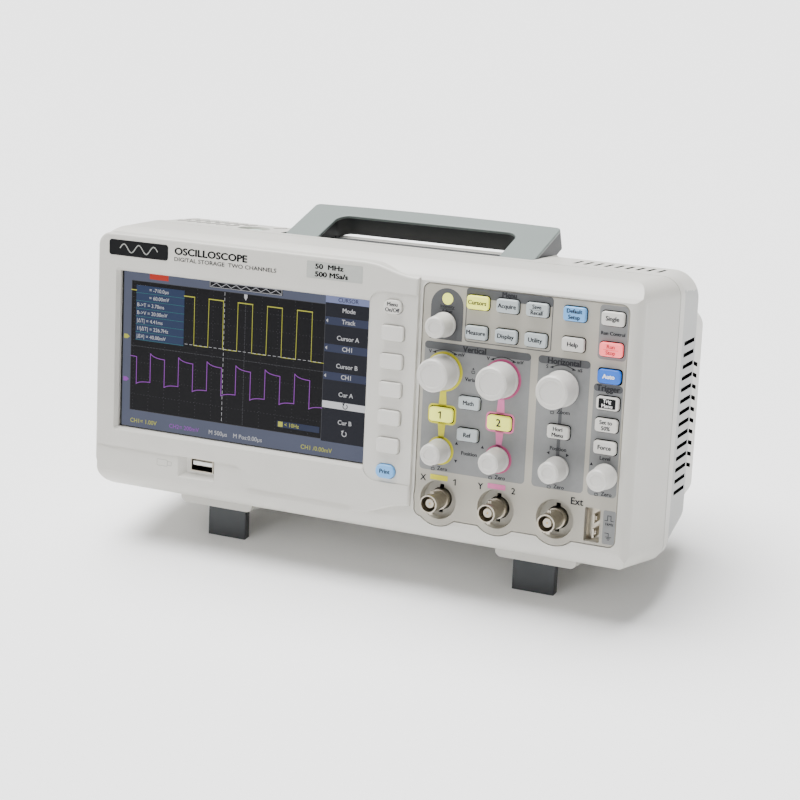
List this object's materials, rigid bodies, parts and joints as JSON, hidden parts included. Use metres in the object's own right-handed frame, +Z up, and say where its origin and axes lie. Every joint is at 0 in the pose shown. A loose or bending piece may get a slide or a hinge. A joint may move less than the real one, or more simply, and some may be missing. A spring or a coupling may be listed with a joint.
{
  "type": "oscilloscope",
  "caption": "Bench oscilloscope with a wide colour display, rows of push keys, turning knobs, bayonet inputs, folding carry handle and tilt legs.",
  "frame": {"origin": "middle of the bounding box at the surface the instrument stands on", "axes": "+Z up, +Y from the display side to the back, +X to the right as the user sees the front; the casing leans back 12.65 degrees on its tilt legs"},
  "size_m": [0.323, 0.1524, 0.173],
  "materials": {
    "board": "solder-masked boards",
    "casing": "fine satin texture, warm light grey",
    "dark_plastic": "fine moulded texture, charcoal",
    "foot": "matt",
    "grip_grey": "satin grey-green",
    "key_blue": "satin light blue",
    "key_deep_blue": "satin blue",
    "key_lens": "translucent bluish grey",
    "key_plain": "satin",
    "key_red": "translucent, lit red",
    "key_yellow": "translucent, lit yellow",
    "knob": "satin",
    "leg_dark": "fine moulded texture, charcoal",
    "metal": "nickel plate",
    "panel": "fine satin texture, beige grey",
    "power_lens": "translucent pale green",
    "screen": "lit colour display behind a smooth front",
    "socket": "black",
    "steel": "turned",
    "supply": "board with wound parts"
  },
  "bodies": {
    "housing": {"front_bezel": "casing", "control_panel": "panel", "rear_housing": "casing", "display_module": "screen", "circuit_boards": "board", "power_supply": "supply", "bnc_connectors": "metal", "usb_port": "metal", "probe_terminals": "metal", "power_inlet": "socket", "rear_feet": "foot", "case_screws": "steel", "hinge_pins": "steel"},
    "handle": {"carry_handle": "dark_plastic", "handle_grip": "grip_grey"},
    "tilt_leg_left": {"tilt_leg_left": "leg_dark"},
    "tilt_leg_right": {"tilt_leg_right": "leg_dark"},
    "menu_toggle_key": {"menu_toggle_key": "key_plain"},
    "print_key": {"print_key": "key_blue"},
    "cursors_key": {"cursors_key": "key_yellow"},
    "acquire_key": {"acquire_key": "key_lens"},
    "save_recall_key": {"save_recall_key": "key_lens"},
    "measure_key": {"measure_key": "key_lens"},
    "display_key": {"display_key": "key_lens"},
    "utility_key": {"utility_key": "key_lens"},
    "default_setup_key": {"default_setup_key": "key_blue"},
    "help_key": {"help_key": "key_plain"},
    "single_key": {"single_key": "key_plain"},
    "run_stop_key": {"run_stop_key": "key_red"},
    "auto_key": {"auto_key": "key_deep_blue"},
    "trigger_menu_key": {"trigger_menu_key": "key_plain"},
    "set_level_key": {"set_level_key": "key_plain"},
    "force_key": {"force_key": "key_plain"},
    "channel_1_key": {"channel_1_key": "key_yellow"},
    "channel_2_key": {"channel_2_key": "key_yellow"},
    "math_key": {"math_key": "key_lens"},
    "ref_key": {"ref_key": "key_lens"},
    "horizontal_menu_key": {"horizontal_menu_key": "key_plain"},
    "softkey_1": {"softkey_1": "key_plain"},
    "softkey_2": {"softkey_2": "key_plain"},
    "softkey_3": {"softkey_3": "key_plain"},
    "softkey_4": {"softkey_4": "key_plain"},
    "softkey_5": {"softkey_5": "key_plain"},
    "power_key": {"power_key": "power_lens"},
    "intensity_shaft": {"intensity_shaft": "steel"},
    "intensity_knob": {"intensity_knob": "knob"},
    "channel_1_scale_shaft": {"channel_1_scale_shaft": "steel"},
    "channel_1_scale_knob": {"channel_1_scale_knob": "knob"},
    "channel_2_scale_shaft": {"channel_2_scale_shaft": "steel"},
    "channel_2_scale_knob": {"channel_2_scale_knob": "knob"},
    "timebase_shaft": {"timebase_shaft": "steel"},
    "timebase_knob": {"timebase_knob": "knob"},
    "channel_1_position_shaft": {"channel_1_position_shaft": "steel"},
    "channel_1_position_knob": {"channel_1_position_knob": "knob"},
    "channel_2_position_shaft": {"channel_2_position_shaft": "steel"},
    "channel_2_position_knob": {"channel_2_position_knob": "knob"},
    "horizontal_position_shaft": {"horizontal_position_shaft": "steel"},
    "horizontal_position_knob": {"horizontal_position_knob": "knob"},
    "trigger_level_shaft": {"trigger_level_shaft": "steel"},
    "trigger_level_knob": {"trigger_level_knob": "knob"}
  },
  "joints": [
    {"name": "handle_lift", "type": "hinge", "parent": "housing", "child": "handle", "pos_m": [0, 0.01204, 0.15791], "axis": [1, 0, 0], "range_deg": [0, 75]},
    {"name": "leg_left_fold", "type": "hinge", "parent": "housing", "child": "tilt_leg_left", "pos_m": [-0.0939, -0.03792, 0.02], "axis": [1, 0, 0], "range_deg": [0, 90]},
    {"name": "leg_right_fold", "type": "hinge", "parent": "housing", "child": "tilt_leg_right", "pos_m": [0.0939, -0.03792, 0.02], "axis": [1, 0, 0], "range_deg": [0, 90]},
    {"name": "menu_toggle_key_press", "type": "slide", "parent": "housing", "child": "menu_toggle_key", "axis": [0, 0.9757, -0.219], "range_m": [0, 0.0009], "stiffness_N_per_m": 900, "springref_m": -0.0006},
    {"name": "print_key_press", "type": "slide", "parent": "housing", "child": "print_key", "axis": [0, 0.9757, -0.219], "range_m": [0, 0.0009], "stiffness_N_per_m": 900, "springref_m": -0.0006},
    {"name": "cursors_key_press", "type": "slide", "parent": "housing", "child": "cursors_key", "axis": [0, 0.9757, -0.219], "range_m": [0, 0.0009], "stiffness_N_per_m": 900, "springref_m": -0.0006},
    {"name": "acquire_key_press", "type": "slide", "parent": "housing", "child": "acquire_key", "axis": [0, 0.9757, -0.219], "range_m": [0, 0.0009], "stiffness_N_per_m": 900, "springref_m": -0.0006},
    {"name": "save_recall_key_press", "type": "slide", "parent": "housing", "child": "save_recall_key", "axis": [0, 0.9757, -0.219], "range_m": [0, 0.0009], "stiffness_N_per_m": 900, "springref_m": -0.0006},
    {"name": "measure_key_press", "type": "slide", "parent": "housing", "child": "measure_key", "axis": [0, 0.9757, -0.219], "range_m": [0, 0.0009], "stiffness_N_per_m": 900, "springref_m": -0.0006},
    {"name": "display_key_press", "type": "slide", "parent": "housing", "child": "display_key", "axis": [0, 0.9757, -0.219], "range_m": [0, 0.0009], "stiffness_N_per_m": 900, "springref_m": -0.0006},
    {"name": "utility_key_press", "type": "slide", "parent": "housing", "child": "utility_key", "axis": [0, 0.9757, -0.219], "range_m": [0, 0.0009], "stiffness_N_per_m": 900, "springref_m": -0.0006},
    {"name": "default_setup_key_press", "type": "slide", "parent": "housing", "child": "default_setup_key", "axis": [0, 0.9757, -0.219], "range_m": [0, 0.0009], "stiffness_N_per_m": 900, "springref_m": -0.0006},
    {"name": "help_key_press", "type": "slide", "parent": "housing", "child": "help_key", "axis": [0, 0.9757, -0.219], "range_m": [0, 0.0009], "stiffness_N_per_m": 900, "springref_m": -0.0006},
    {"name": "single_key_press", "type": "slide", "parent": "housing", "child": "single_key", "axis": [0, 0.9757, -0.219], "range_m": [0, 0.0009], "stiffness_N_per_m": 900, "springref_m": -0.0006},
    {"name": "run_stop_key_press", "type": "slide", "parent": "housing", "child": "run_stop_key", "axis": [0, 0.9757, -0.219], "range_m": [0, 0.0009], "stiffness_N_per_m": 900, "springref_m": -0.0006},
    {"name": "auto_key_press", "type": "slide", "parent": "housing", "child": "auto_key", "axis": [0, 0.9757, -0.219], "range_m": [0, 0.0009], "stiffness_N_per_m": 900, "springref_m": -0.0006},
    {"name": "trigger_menu_key_press", "type": "slide", "parent": "housing", "child": "trigger_menu_key", "axis": [0, 0.9757, -0.219], "range_m": [0, 0.0009], "stiffness_N_per_m": 900, "springref_m": -0.0006},
    {"name": "set_level_key_press", "type": "slide", "parent": "housing", "child": "set_level_key", "axis": [0, 0.9757, -0.219], "range_m": [0, 0.0009], "stiffness_N_per_m": 900, "springref_m": -0.0006},
    {"name": "force_key_press", "type": "slide", "parent": "housing", "child": "force_key", "axis": [0, 0.9757, -0.219], "range_m": [0, 0.0009], "stiffness_N_per_m": 900, "springref_m": -0.0006},
    {"name": "channel_1_key_press", "type": "slide", "parent": "housing", "child": "channel_1_key", "axis": [0, 0.9757, -0.219], "range_m": [0, 0.0009], "stiffness_N_per_m": 900, "springref_m": -0.0006},
    {"name": "channel_2_key_press", "type": "slide", "parent": "housing", "child": "channel_2_key", "axis": [0, 0.9757, -0.219], "range_m": [0, 0.0009], "stiffness_N_per_m": 900, "springref_m": -0.0006},
    {"name": "math_key_press", "type": "slide", "parent": "housing", "child": "math_key", "axis": [0, 0.9757, -0.219], "range_m": [0, 0.0009], "stiffness_N_per_m": 900, "springref_m": -0.0006},
    {"name": "ref_key_press", "type": "slide", "parent": "housing", "child": "ref_key", "axis": [0, 0.9757, -0.219], "range_m": [0, 0.0009], "stiffness_N_per_m": 900, "springref_m": -0.0006},
    {"name": "horizontal_menu_key_press", "type": "slide", "parent": "housing", "child": "horizontal_menu_key", "axis": [0, 0.9757, -0.219], "range_m": [0, 0.0009], "stiffness_N_per_m": 900, "springref_m": -0.0006},
    {"name": "softkey_1_press", "type": "slide", "parent": "housing", "child": "softkey_1", "axis": [0, 0.9757, -0.219], "range_m": [0, 0.0009], "stiffness_N_per_m": 900, "springref_m": -0.0006},
    {"name": "softkey_2_press", "type": "slide", "parent": "housing", "child": "softkey_2", "axis": [0, 0.9757, -0.219], "range_m": [0, 0.0009], "stiffness_N_per_m": 900, "springref_m": -0.0006},
    {"name": "softkey_3_press", "type": "slide", "parent": "housing", "child": "softkey_3", "axis": [0, 0.9757, -0.219], "range_m": [0, 0.0009], "stiffness_N_per_m": 900, "springref_m": -0.0006},
    {"name": "softkey_4_press", "type": "slide", "parent": "housing", "child": "softkey_4", "axis": [0, 0.9757, -0.219], "range_m": [0, 0.0009], "stiffness_N_per_m": 900, "springref_m": -0.0006},
    {"name": "softkey_5_press", "type": "slide", "parent": "housing", "child": "softkey_5", "axis": [0, 0.9757, -0.219], "range_m": [0, 0.0009], "stiffness_N_per_m": 900, "springref_m": -0.0006},
    {"name": "power_key_press", "type": "slide", "parent": "housing", "child": "power_key", "axis": [0, -0.219, -0.9757], "range_m": [0, 0.0009], "stiffness_N_per_m": 900, "springref_m": -0.0006},
    {"name": "intensity_push", "type": "slide", "parent": "housing", "child": "intensity_shaft", "axis": [0, 0.9757, -0.219], "range_m": [0, 0.0008], "stiffness_N_per_m": 1200, "springref_m": -0.0006},
    {"name": "intensity_turn", "type": "hinge", "parent": "intensity_shaft", "child": "intensity_knob", "pos_m": [0.0499, -0.0486, 0.14661], "axis": [0, 0.9757, -0.219], "continuous": true},
    {"name": "channel_1_scale_push", "type": "slide", "parent": "housing", "child": "channel_1_scale_shaft", "axis": [0, 0.9757, -0.219], "range_m": [0, 0.0008], "stiffness_N_per_m": 1200, "springref_m": -0.0006},
    {"name": "channel_1_scale_turn", "type": "hinge", "parent": "channel_1_scale_shaft", "child": "channel_1_scale_knob", "pos_m": [0.0506, -0.05397, 0.12271], "axis": [0, 0.9757, -0.219], "continuous": true},
    {"name": "channel_2_scale_push", "type": "slide", "parent": "housing", "child": "channel_2_scale_shaft", "axis": [0, 0.9757, -0.219], "range_m": [0, 0.0008], "stiffness_N_per_m": 1200, "springref_m": -0.0006},
    {"name": "channel_2_scale_turn", "type": "hinge", "parent": "channel_2_scale_shaft", "child": "channel_2_scale_knob", "pos_m": [0.0832, -0.05397, 0.12271], "axis": [0, 0.9757, -0.219], "continuous": true},
    {"name": "timebase_push", "type": "slide", "parent": "housing", "child": "timebase_shaft", "axis": [0, 0.9757, -0.219], "range_m": [0, 0.0008], "stiffness_N_per_m": 1200, "springref_m": -0.0006},
    {"name": "timebase_turn", "type": "hinge", "parent": "timebase_shaft", "child": "timebase_knob", "pos_m": [0.116, -0.05403, 0.12242], "axis": [0, 0.9757, -0.219], "continuous": true},
    {"name": "channel_1_position_push", "type": "slide", "parent": "housing", "child": "channel_1_position_shaft", "axis": [0, 0.9757, -0.219], "range_m": [0, 0.0008], "stiffness_N_per_m": 1200, "springref_m": -0.0006},
    {"name": "channel_1_position_turn", "type": "hinge", "parent": "channel_1_position_shaft", "child": "channel_1_position_knob", "pos_m": [0.0506, -0.06306, 0.08222], "axis": [0, 0.9757, -0.219], "continuous": true},
    {"name": "channel_2_position_push", "type": "slide", "parent": "housing", "child": "channel_2_position_shaft", "axis": [0, 0.9757, -0.219], "range_m": [0, 0.0008], "stiffness_N_per_m": 1200, "springref_m": -0.0006},
    {"name": "channel_2_position_turn", "type": "hinge", "parent": "channel_2_position_shaft", "child": "channel_2_position_knob", "pos_m": [0.0832, -0.06306, 0.08222], "axis": [0, 0.9757, -0.219], "continuous": true},
    {"name": "horizontal_position_push", "type": "slide", "parent": "housing", "child": "horizontal_position_shaft", "axis": [0, 0.9757, -0.219], "range_m": [0, 0.0008], "stiffness_N_per_m": 1200, "springref_m": -0.0006},
    {"name": "horizontal_position_turn", "type": "hinge", "parent": "horizontal_position_shaft", "child": "horizontal_position_knob", "pos_m": [0.116, -0.06306, 0.08222], "axis": [0, 0.9757, -0.219], "continuous": true},
    {"name": "trigger_level_push", "type": "slide", "parent": "housing", "child": "trigger_level_shaft", "axis": [0, 0.9757, -0.219], "range_m": [0, 0.0008], "stiffness_N_per_m": 1200, "springref_m": -0.0006},
    {"name": "trigger_level_turn", "type": "hinge", "parent": "trigger_level_shaft", "child": "trigger_level_knob", "pos_m": [0.142, -0.06306, 0.08222], "axis": [0, 0.9757, -0.219], "continuous": true}
  ]
}
